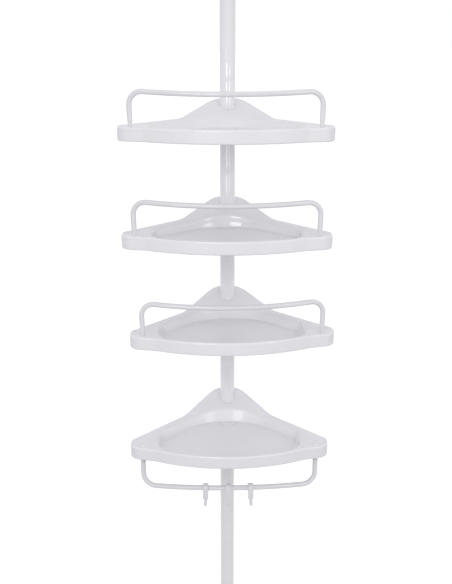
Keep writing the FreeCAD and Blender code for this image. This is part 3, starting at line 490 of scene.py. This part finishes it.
# how far outward the legs of a guard rail have leaned where they reach the bar
GUARD_SPLAY = 1.2
# the cut and deburred ends: how much thinner they are, and over what length
END_TAPER, END_LENGTH = 0.35, 0.4


def bar_point(x, forward):
    """A point of the bar's plane, which dips forward from the line of the corners."""
    return np.array([x, EAR_HOLE[1] - forward * math.cos(DIP), RISE - forward * math.sin(DIP)])


def bar_hub():
    """Radius of the bar's arc, and how far forward its centre is in the bar's plane: the line
    from the corner touches the arc after STRAIGHT_END, and the arc reaches BULGE forward."""
    radius = (EAR_HOLE[0] ** 2 + BULGE ** 2 - STRAIGHT_END ** 2) / (2 * BULGE)
    return radius, BULGE - radius


def round_corner(corner, before, after, radius, count):
    """An arc that touches two lines through a corner, from one to the other."""
    before, after = before / np.linalg.norm(before), after / np.linalg.norm(after)
    turn = math.pi - math.acos(before @ after)
    hub = corner + (before + after) / np.linalg.norm(before + after) * radius / math.cos(turn / 2)
    first = corner + before * radius * math.tan(turn / 2) - hub
    last = corner + after * radius * math.tan(turn / 2) - hub
    t = np.linspace(0, 1, count)[:, None]
    return hub + (first * np.sin((1 - t) * turn) + last * np.sin(t * turn)) / math.sin(turn)


def rail_line(splay):
    """The rail's centre line: leg, corner, straight end, then the bar's arc, and mirrored.
    Up the legs, all of it widens evenly, by splay on each side at the height of the corners."""
    radius, hub = bar_hub()
    half = EAR_HOLE[0]
    # the straight end leaves the corner and touches the arc
    sweep = math.atan2(half, -hub) - math.acos(radius / math.hypot(half, hub))
    corner = bar_point(half, 0)
    end = bar_point(radius * math.sin(sweep), hub + radius * math.cos(sweep))
    bend = round_corner(corner, np.array([0.0, 0, -1]), end - corner, BEND, 18)
    climb = np.linspace(STAND_OFF, bend[0, 2], 11)[:-1]
    leg = np.column_stack([np.full(len(climb), corner[0]), np.full(len(climb), corner[1]), climb])
    straight = bend[-1] + (end - bend[-1]) * np.linspace(0, 1, 4)[1:-1, None]
    a = np.linspace(sweep, 0, 34)
    bar = bar_point(radius * np.sin(a), hub + radius * np.cos(a)).T
    right = np.vstack([leg, bend, straight, bar])
    right[:, 0] *= 1 + splay / half * share(right[:, 2], STAND_OFF, RISE)
    return np.vstack([right, right[-2::-1] * [-1, 1, 1]])


def rail_skin(splay=0.0):
    """The rail's tube: a circle carried along its line, and a smaller one back again as its
    bore. Both ends are drawn in a little."""
    line = rail_line(splay)
    inset = [0, 0, END_LENGTH]
    line = np.vstack([line[:1], line[:1] + inset, line[1:-1], line[-1:] + inset, line[-1:]])
    outside = np.full(len(line), RAIL)
    outside[[0, -1]] = RAIL - END_TAPER
    a = around(28)
    circle = np.stack([np.cos(a), np.sin(a)], -1)
    axis = (0.0, -1.0, 0.0)
    outer = carried(line, outside[:, None, None] * circle, axis)
    inner = carried(line, np.full((len(line), 1, 1), RAIL_BORE) * circle, axis)
    grid = np.concatenate([outer, inner[::-1]])
    faces = grid_faces(len(grid), len(a), close_rows=True, close_columns=True)
    return grid.reshape(-1, 3), [faces]


# ----------------------------------------------------------------------------
# Hooks: a split ring that snaps on the bar, a flat tongue and a turned-up round tip
# ----------------------------------------------------------------------------
# the ring: radius of its bore, wall, the hook's width, and half the mouth in degrees
RING_BORE, RING_WALL, HOOK_WIDTH, MOUTH = 4.08, 3.2, 8.6, 40.0
# the tongue: half its thickness, its y, its upper end, and where it turns into the curl
TONGUE, TONGUE_Y, TONGUE_TOP, TONGUE_END = 1.2, -6.08, 2.5, -19.7
# radius of the curl, radius of the round tip, and how far the tip rises from the curl
CURL, TIP, TIP_RISE = 4.5, 2.1, 2.6
# below this height the tongue narrows to the round tip
NARROW_FROM = -15.5
# powers of the superellipses: a rounded bar and a circle
SQUARE, ROUND = 5.0, 2.0
# over what length the ring's two ends are rounded
END_ROUND = 1.2


def rounded_section(half_width, half_depth, power, count=32):
    """Superellipses: points whose coordinates over their half sizes, raised to power, sum to 1."""
    a = around(count)
    c, s = np.cos(a), np.sin(a)
    power = np.asarray(power, float)[:, None]
    across = np.sign(c) * np.abs(c) ** (2 / power) * np.asarray(half_width)[:, None]
    deep = np.sign(s) * np.abs(s) ** (2 / power) * np.asarray(half_depth)[:, None]
    return np.stack([across, deep], -1)


def ring_skin():
    """The hook's ring, with the bar's centre at the origin and the user at -Y: a superellipse
    carried round an arc that is open behind. Its two ends thin to half the wall, as the root
    of 1 less a square falls, and narrow by a twentieth."""
    count = 72
    a = np.radians(np.linspace(MOUTH, 360 - MOUTH, count))
    middle = RING_BORE + RING_WALL / 2
    path = np.stack([np.zeros(count), middle * np.cos(a), middle * np.sin(a)], -1)
    s = np.linspace(0, 1, count)
    from_end = np.minimum(s, 1 - s) * middle * math.radians(360 - 2 * MOUTH)
    round_end = np.sqrt(1 - np.clip(1 - from_end / END_ROUND, 0, 1) ** 2 * 0.75)
    section = rounded_section(HOOK_WIDTH / 2 * (0.9 + 0.1 * round_end),
                              RING_WALL / 2 * round_end, np.full(count, SQUARE))
    return stacked(carried(path, section, (1, 0, 0)))


def tongue_skin():
    """The hook's tongue and tip, placed as the ring is: a superellipse carried straight down
    in front of the ring, forward round half a circle and up again. It changes from a rounded
    bar to a circle on its way down and ends in half a ball."""
    straight = np.linspace(TONGUE_TOP, TONGUE_END, 40)[:-1]
    b = np.linspace(0, math.pi, 28)
    rise = np.linspace(0, TIP_RISE, 6)[1:]
    path = np.vstack([
        np.stack([np.zeros(len(straight)), np.full(len(straight), TONGUE_Y), straight], -1),
        np.stack([np.zeros(len(b)), TONGUE_Y - CURL + CURL * np.cos(b),
                  TONGUE_END - CURL * np.sin(b)], -1),
        np.stack([np.zeros(len(rise)), np.full(len(rise), TONGUE_Y - 2 * CURL),
                  TONGUE_END + rise], -1)])
    cap = np.radians(np.linspace(15, 88, 6))
    path = np.vstack([path, path[-1] + np.outer(TIP * np.sin(cap), [0, 0, 1])])
    z = np.concatenate([straight, np.full(len(path) - len(straight), TONGUE_END)])
    narrow = eased(share(-z, -NARROW_FROM, -TONGUE_END))
    shrink = np.concatenate([np.ones(len(path) - len(cap)), np.cos(cap)])
    # the tongue's upper end is rounded over
    shrink[:3] = (0.35, 0.75, 0.95)
    section = rounded_section((HOOK_WIDTH / 2 + (TIP - HOOK_WIDTH / 2) * narrow) * shrink,
                              (TONGUE + (TIP - TONGUE) * narrow) * shrink,
                              SQUARE + (ROUND - SQUARE) * narrow)
    return stacked(carried(path, section, (1, 0, 0)))


# ----------------------------------------------------------------------------
# Spring, between its seat and the plunger inside the pole
# ----------------------------------------------------------------------------
# radius of the coil to the middle of its wire, radius of the wire, and turns
COIL_RADIUS, COIL_WIRE, COIL_TURNS = 7.4, 0.8, 9
# height of its foot over the floor, its length, and how far the plunger shortens it
COIL_FOOT, COIL_LENGTH, PLUNGER_TRAVEL = 1095.0, 61.0, 20.0


def spring_skin():
    """The spring inside the pole: a round wire carried along a helix about the pole's axis.

    At t turns, and a round the wire, a point stands in direction 2 pi t at the radius
    COIL_RADIUS + COIL_WIRE cos a, at the height of the wire's first middle plus t times the
    pitch, plus COIL_WIRE sin a.
    """
    turn = np.linspace(0, 2 * np.pi * COIL_TURNS, 36 * COIL_TURNS + 1)[:, None]
    wire = around(14)[None, :]
    radius = COIL_RADIUS + COIL_WIRE * np.cos(wire)
    pitch = (COIL_LENGTH - 2 * COIL_WIRE) / COIL_TURNS
    height = COIL_FOOT + COIL_WIRE * (1 + np.sin(wire)) + pitch * turn / (2 * np.pi)
    return stacked(np.stack([radius * np.cos(turn), radius * np.sin(turn), height], -1))


# ----------------------------------------------------------------------------
# Places of the shelves and hooks, in metres
# ----------------------------------------------------------------------------
def turn_matrix(axis, degrees):
    """A turn about an axis through the origin."""
    return Matrix.Rotation(math.radians(degrees), 4, Vector(axis))


# a rail hung upside down from a tray: half a turn about the front-to-back axis, and the band's
# height lower
UPSIDE_DOWN = Matrix.Translation((0, 0, -BAND / 1000)) @ turn_matrix((0, 1, 0), 180)


def shelf_place(number):
    """Where a shelf's rim frame stands: lifted up the pole and turned about it."""
    return (Matrix.Translation((0, 0, RIMS[number - 1] / 1000))
            @ turn_matrix((0, 0, 1), TURNS[number - 1]))


def hook_place(angle):
    """Where a hook hangs on the lowest shelf's rail, an angle along the bar's arc."""
    _, hub = bar_hub()
    centre = Matrix.Translation(bar_point(0, hub) / 1000)
    along = centre @ turn_matrix((0, -math.sin(DIP), math.cos(DIP)), -angle) @ centre.inverted()
    bar = Matrix.Translation(bar_point(0, BULGE) / 1000)
    return shelf_place(4) @ UPSIDE_DOWN @ along @ bar @ turn_matrix((0, 1, 0), 180)


def placed_copy(source, name, place):
    """A copy of a piece whose place is in its mesh."""
    piece = bpy.data.objects.new(name, source.data.copy())
    piece.data.transform(place)
    bpy.context.scene.collection.objects.link(piece)
    return piece


# ----------------------------------------------------------------------------
# Materials
# ----------------------------------------------------------------------------
def new_group(name, inputs, outputs):
    """An empty node group with an input Place, float inputs and float outputs, and its two
    end nodes."""
    group = bpy.data.node_groups.new(name, "ShaderNodeTree")
    group.interface.new_socket("Place", in_out="INPUT", socket_type="NodeSocketVector")
    for label, default in inputs:
        socket = group.interface.new_socket(label, in_out="INPUT", socket_type="NodeSocketFloat")
        socket.default_value = default
    for label in outputs:
        group.interface.new_socket(label, in_out="OUTPUT", socket_type="NodeSocketFloat")
    return group, group.nodes.new("NodeGroupInput"), group.nodes.new("NodeGroupOutput")


def add_node(tree, kind, settings):
    """A node with its settings: a source socket is linked to the input of that name or index,
    and any other value is set on the node or on its input."""
    node = tree.nodes.new(kind)
    for key, setting in settings.items():
        if isinstance(setting, bpy.types.NodeSocket):
            tree.links.new(setting, node.inputs[key])
        elif isinstance(key, str) and hasattr(node, key):
            setattr(node, key, setting)
        else:
            node.inputs[key].default_value = setting
    return node


def noise(tree, place, scale, detail, roughness=0.5):
    """Fractal noise over a place."""
    settings = {"Vector": place, "Scale": scale, "Detail": detail, "Roughness": roughness}
    return add_node(tree, "ShaderNodeTexNoise", settings).outputs[0]


def stretched(tree, place, scale):
    """A place with its three directions scaled."""
    return add_node(tree, "ShaderNodeMapping", {"Vector": place, "Scale": scale}).outputs[0]


def remapped(tree, source, low, high, start, end):
    """The source's values from low to high taken evenly from start to end, and held there."""
    return add_node(tree, "ShaderNodeMapRange",
                    {0: source, 1: low, 2: high, 3: start, 4: end}).outputs[0]


def reckoned(tree, operation, first, second):
    """Two values put together by an operation."""
    return add_node(tree, "ShaderNodeMath",
                    {"operation": operation, 0: first, 1: second}).outputs[0]


def parts_of(tree, vector):
    """The three parts of a vector."""
    return add_node(tree, "ShaderNodeSeparateXYZ", {0: vector}).outputs


def mixed_colour(tree, weight, first, second):
    """The first colour where the weight is 0 and the second where it is 1."""
    return add_node(tree, "ShaderNodeMix",
                    {"data_type": "RGBA", 0: weight, 6: first, 7: second}).outputs[2]


def moulding_group():
    """Moulded or coated skin: a fine orange peel as height, a broad soft mottle as tone, and a
    rub of short upright scratches as haze. All three are fractal noise over the place."""
    group, start, end = new_group("moulded_skin", [("Peel Scale", 700.0), ("Mottle Scale", 18.0)],
                                  ["Height", "Tone", "Haze"])
    place = start.outputs["Place"]
    mottle = noise(group, place, start.outputs["Mottle Scale"], 3.0)
    for label, source in (
            ("Height", noise(group, place, start.outputs["Peel Scale"], 2.0, 0.45)),
            ("Tone", remapped(group, mottle, 0.3, 0.7, 0.0, 1.0)),
            ("Haze", noise(group, stretched(group, place, (240.0, 240.0, 60.0)), 1.0, 4.0))):
        group.links.new(source, end.inputs[label])
    return group


def drawn_group():
    """Lines along the Z axis, as on drawn tube and wire: noise stretched along the axis."""
    group, start, end = new_group("drawn_lines", [("Fineness", 900.0)], ["Height"])
    flat = stretched(group, start.outputs["Place"], (1.0, 1.0, 0.02))
    group.links.new(noise(group, flat, start.outputs["Fineness"], 2.0), end.inputs["Height"])
    return group


def settled_group():
    """Dust and rubbing near the floor: noise that is full at the floor and fades out at the
    height Reach above it."""
    group, start, end = new_group("settled_dust", [("Reach", 0.05)], ["Mask"])
    place = start.outputs["Place"]
    climbed = reckoned(group, "DIVIDE", parts_of(group, place)[2], start.outputs["Reach"])
    mask = reckoned(group, "MULTIPLY", remapped(group, climbed, 0.0, 1.0, 1.0, 0.0),
                    noise(group, place, 160.0, 5.0))
    group.links.new(mask, end.inputs["Mask"])
    return group


SKIN, LINES, DUST = moulding_group(), drawn_group(), settled_group()
DUST_COLOUR = (0.42, 0.40, 0.38, 1)


def finish_material(name, light, dark, roughness, haze, relief, peel=700.0, mottle=18.0,
                    lines=0.0, dust=0.0, polish=0.0, **shader_values):
    """A material whose colour runs from light to dark with the mottle, whose roughness grows
    by haze where the rub is strong, and whose relief is orange peel, mixed with drawn lines
    where lines is given. Where dust is given, the colour greys near the floor, and where
    polish is given, faces that slope between level and upright have that much clear gloss."""
    material = bpy.data.materials.new(name)
    material.use_nodes = True
    tree = material.node_tree
    shader = tree.nodes["Principled BSDF"]
    for key, setting in shader_values.items():
        shader.inputs[key.replace("_", " ")].default_value = setting
    place = add_node(tree, "ShaderNodeTexCoord", {}).outputs["Object"]
    skin = add_node(tree, "ShaderNodeGroup", {"node_tree": SKIN, "Place": place,
                                              "Peel Scale": peel, "Mottle Scale": mottle})
    colour = mixed_colour(tree, skin.outputs["Tone"], (*light, 1), (*dark, 1))
    if dust:
        settled = add_node(tree, "ShaderNodeGroup", {"node_tree": DUST, "Place": place})
        weight = reckoned(tree, "MULTIPLY", settled.outputs[0], dust)
        colour = mixed_colour(tree, weight, colour, DUST_COLOUR)
    tree.links.new(colour, shader.inputs["Base Color"])
    tree.links.new(remapped(tree, skin.outputs["Haze"], 0.35, 0.75, roughness, roughness + haze),
                   shader.inputs["Roughness"])
    if polish:
        normal = add_node(tree, "ShaderNodeNewGeometry", {}).outputs["Normal"]
        # 0 on upright faces and 1 on level ones
        facing_up = parts_of(tree, normal)[2]
        off_upright = remapped(tree, facing_up, 0.10, 0.20, 0.0, polish)
        off_level = remapped(tree, facing_up, 0.45, 0.65, 1.0, 0.0)
        tree.links.new(reckoned(tree, "MULTIPLY", off_upright, off_level),
                       shader.inputs["Coat Weight"])
    height = skin.outputs["Height"]
    if lines:
        drawn = add_node(tree, "ShaderNodeGroup", {"node_tree": LINES, "Place": place})
        height = add_node(tree, "ShaderNodeMix",
                          {0: lines, 2: height, 3: drawn.outputs[0]}).outputs[0]
    bump = add_node(tree, "ShaderNodeBump", {"Strength": 1.0, "Distance": relief,
                                             "Height": height})
    tree.links.new(bump.outputs[0], shader.inputs["Normal"])
    return material


# by slot: name, light and dark colour, roughness, haze, and the relief's height in metres
MATERIALS = {
    "tray_white": finish_material("glossy_tray_white", (0.86, 0.85, 0.875), (0.84, 0.83, 0.86),
                                  0.34, 0.06, 0.000001, polish=1.0, IOR=1.49,
                                  Coat_Roughness=0.03, Coat_IOR=1.5),
    "rail_white": finish_material("coated_rail_white", (0.80, 0.79, 0.815), (0.775, 0.765, 0.79),
                                  0.12, 0.06, 0.000003, peel=500.0, IOR=1.49),
    "tube_white": finish_material("coated_tube_white", (0.87, 0.865, 0.88), (0.85, 0.845, 0.865),
                                  0.10, 0.06, 0.000003, peel=420.0, lines=0.4, IOR=1.49,
                                  Coat_Weight=1.0, Coat_Roughness=0.02, Coat_IOR=1.5),
    "fitting_white": finish_material("satin_fitting_white", (0.78, 0.775, 0.79),
                                     (0.75, 0.745, 0.765), 0.30, 0.10, 0.00002, peel=900.0,
                                     dust=0.35, IOR=1.47),
    "hook_white": finish_material("clear_white_hook", (0.80, 0.795, 0.82), (0.77, 0.765, 0.79),
                                  0.22, 0.08, 0.00001, peel=800.0, mottle=60.0, IOR=1.49),
    "bush_nylon": finish_material("natural_nylon", (0.74, 0.73, 0.68), (0.68, 0.67, 0.62),
                                  0.38, 0.12, 0.00003, peel=1100.0, mottle=60.0, IOR=1.53),
    "pad_rubber": finish_material("pale_rubber", (0.52, 0.52, 0.53), (0.45, 0.45, 0.46),
                                  0.62, 0.15, 0.00005, peel=1500.0, mottle=40.0, dust=0.5,
                                  IOR=1.45),
    "screw_steel": finish_material("plated_screw", (0.86, 0.865, 0.88), (0.78, 0.785, 0.80),
                                   0.16, 0.10, 0.00001, peel=1300.0, mottle=220.0, Metallic=1.0),
    "spring_steel": finish_material("drawn_spring_wire", (0.50, 0.50, 0.51), (0.38, 0.38, 0.40),
                                    0.28, 0.20, 0.00002, peel=1600.0, mottle=150.0, lines=0.5,
                                    Metallic=1.0),
}

# each CAD node's material slot, by the record's own list of parts
SLOTS = {part["node"]: part["material_slot"] for part in frame["record"]["subparts"]}
for name, node in nodes.items():
    node.data.materials.clear()
    node.data.materials.append(MATERIALS[SLOTS[name]])


def dress(piece, body, slot, replaced):
    """Gives a new piece its finish and its body, shades it smooth with sharper edges kept sharp,
    and hides the CAD node that it stands for.
    """
    piece.data.materials.clear()
    piece.data.materials.append(MATERIALS[slot])
    piece.data.shade_smooth()
    piece.data.set_sharp_from_angle(angle=math.radians(SHARP_EDGE))
    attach(piece, body)
    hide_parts(replaced)


# ----------------------------------------------------------------------------
# The shelves, hooks and spring
# ----------------------------------------------------------------------------
tray_above, tray_below = tray_mouldings()
guard = make_piece("guard", rail_skin(GUARD_SPLAY))
towel = make_piece("towel", rail_skin())
hook = make_piece("hook", ring_skin(), tongue_skin())
for number in (1, 2, 3, 4):
    body = "shelf_%d" % number
    tray, tray_place = tray_above, shelf_place(number)
    rail, rail_place, rail_node = guard, tray_place, "guard_rail_%d" % number
    if number == 4:
        tray = tray_below
        rail, rail_place, rail_node = towel, tray_place @ UPSIDE_DOWN, "towel_rail"
    dress(placed_copy(tray, "tray_%d_moulding" % number, tray_place),
          body, "tray_white", "tray_%d" % number)
    dress(placed_copy(rail, rail_node + "_tube", rail_place), body, "rail_white", rail_node)
for side, angle in HOOK_ANGLES:
    dress(placed_copy(hook, "hook_%s_moulding" % side, hook_place(angle)),
          "hook_" + side, "hook_white", "hook_" + side)
for pattern in (tray_above, tray_below, guard, towel, hook):
    bpy.data.objects.remove(pattern)
coil = make_piece("tension_spring_coil", spring_skin())
dress(coil, "mast", SLOTS["tension_spring"], "tension_spring")
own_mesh(coil)


# ----------------------------------------------------------------------------
# Stage, light and camera
# ----------------------------------------------------------------------------
WHITE = (1, 1, 1, 1)
# the floor: size, how far below the pad it lies, colour, and how much white is shown on it
FLOOR_SIZE, FLOOR_GAP, FLOOR_COLOUR, FLOOR_GLOW = 60, 0.0005, (0.50, 0.50, 0.50, 1), 0.66
# colour and level of the studio's even light
SKY_COLOUR, SKY_LEVEL = (0.97, 0.98, 1.0, 1), 0.80
# two banks of lamps: side, degrees round the pole from the user, width, share of the power
BANKS = (("left", -12.5, 0.50, 1.0), ("right", 31, 0.44, 0.55))
# a bank's lamps: name, distance, height, share of the bank's width, how tall, watts, and the
# height on the pole that they face
LAMPS = (("upper", 1.55, 1.31, 1.0, 0.30, 2.7, 0.9),
         ("middle", 1.6, 0.87, 0.68, 0.13, 0.8, 0.87),
         ("lower", 1.6, 0.57, 1.0, 0.24, 0.9, 0.57))
# the camera: focal length and sensor in millimetres, place, and degrees from looking down
LENS, SENSOR, CAMERA_PLACE, CAMERA_TILT = 55.56, 36.0, (-0.0024, -1.4744, 1.0768), 73.1


def seen_directly(tree):
    """1 for what the camera, mirrors and glass see, and 0 for the light that falls on things."""
    path = add_node(tree, "ShaderNodeLightPath", {}).outputs
    seen = reckoned(tree, "MAXIMUM", path["Is Camera Ray"], path["Is Glossy Ray"])
    return reckoned(tree, "MAXIMUM", seen, path["Is Transmission Ray"])


def make_floor():
    """A pale floor that the camera sees as white and that keeps the object's shadow."""
    bpy.ops.mesh.primitive_plane_add(size=FLOOR_SIZE, location=(0, 0, -FLOOR_GAP))
    floor = bpy.context.object
    floor.name = "studio_floor"
    material = bpy.data.materials.new("studio_floor")
    material.use_nodes = True
    tree = material.node_tree
    shader = tree.nodes["Principled BSDF"]
    shader.inputs["Base Color"].default_value = FLOOR_COLOUR
    shader.inputs["Roughness"].default_value = 0.9
    shader.inputs["Specular IOR Level"].default_value = 0.1
    strength = reckoned(tree, "MULTIPLY", seen_directly(tree), FLOOR_GLOW)
    glow = add_node(tree, "ShaderNodeEmission", {"Color": WHITE, "Strength": strength})
    both = add_node(tree, "ShaderNodeAddShader", {0: shader.outputs[0], 1: glow.outputs[0]})
    tree.links.new(both.outputs[0], tree.nodes["Material Output"].inputs["Surface"])
    floor.data.materials.append(material)


def make_world():
    """Even studio light, shown as white."""
    world = bpy.data.worlds.new("studio")
    bpy.context.scene.world = world
    world.use_nodes = True
    tree = world.node_tree
    plain = tree.nodes["Background"]
    plain.inputs["Color"].default_value = SKY_COLOUR
    plain.inputs["Strength"].default_value = SKY_LEVEL
    white = add_node(tree, "ShaderNodeBackground", {"Color": WHITE, "Strength": 1.0})
    mix = add_node(tree, "ShaderNodeMixShader",
                   {0: seen_directly(tree), 1: plain.outputs[0], 2: white.outputs[0]})
    tree.links.new(mix.outputs[0], tree.nodes["World Output"].inputs["Surface"])


def softbox(name, azimuth, distance, height, size, watts, aim_height):
    """A rectangular lamp at an azimuth from the user's direction, turned to the pole."""
    lamp = bpy.data.lights.new(name, "AREA")
    lamp.shape, lamp.energy = "RECTANGLE", watts
    lamp.size, lamp.size_y = size
    lamp_object = bpy.data.objects.new(name, lamp)
    a = math.radians(azimuth)
    place = Vector((math.sin(a) * distance, -math.cos(a) * distance, height))
    lamp_object.location = place
    aim = Vector((0, 0, aim_height)) - place
    lamp_object.rotation_euler = aim.to_track_quat("-Z", "Y").to_euler()
    bpy.context.scene.collection.objects.link(lamp_object)


make_floor()
make_world()
for side, azimuth, width, power in BANKS:
    for level, distance, height, span, tall, watts, aim_height in LAMPS:
        softbox("%s_%s_box" % (level, side), azimuth, distance, height, (span * width, tall),
                watts * power, aim_height)

camera = bpy.data.objects.new("camera", bpy.data.cameras.new("camera"))
camera.data.lens = LENS
camera.data.sensor_width = SENSOR
camera.location = CAMERA_PLACE
camera.rotation_euler = (math.radians(CAMERA_TILT), 0, 0)
bpy.context.scene.collection.objects.link(camera)
bpy.context.scene.camera = camera
bpy.context.scene.view_settings.view_transform = "Standard"
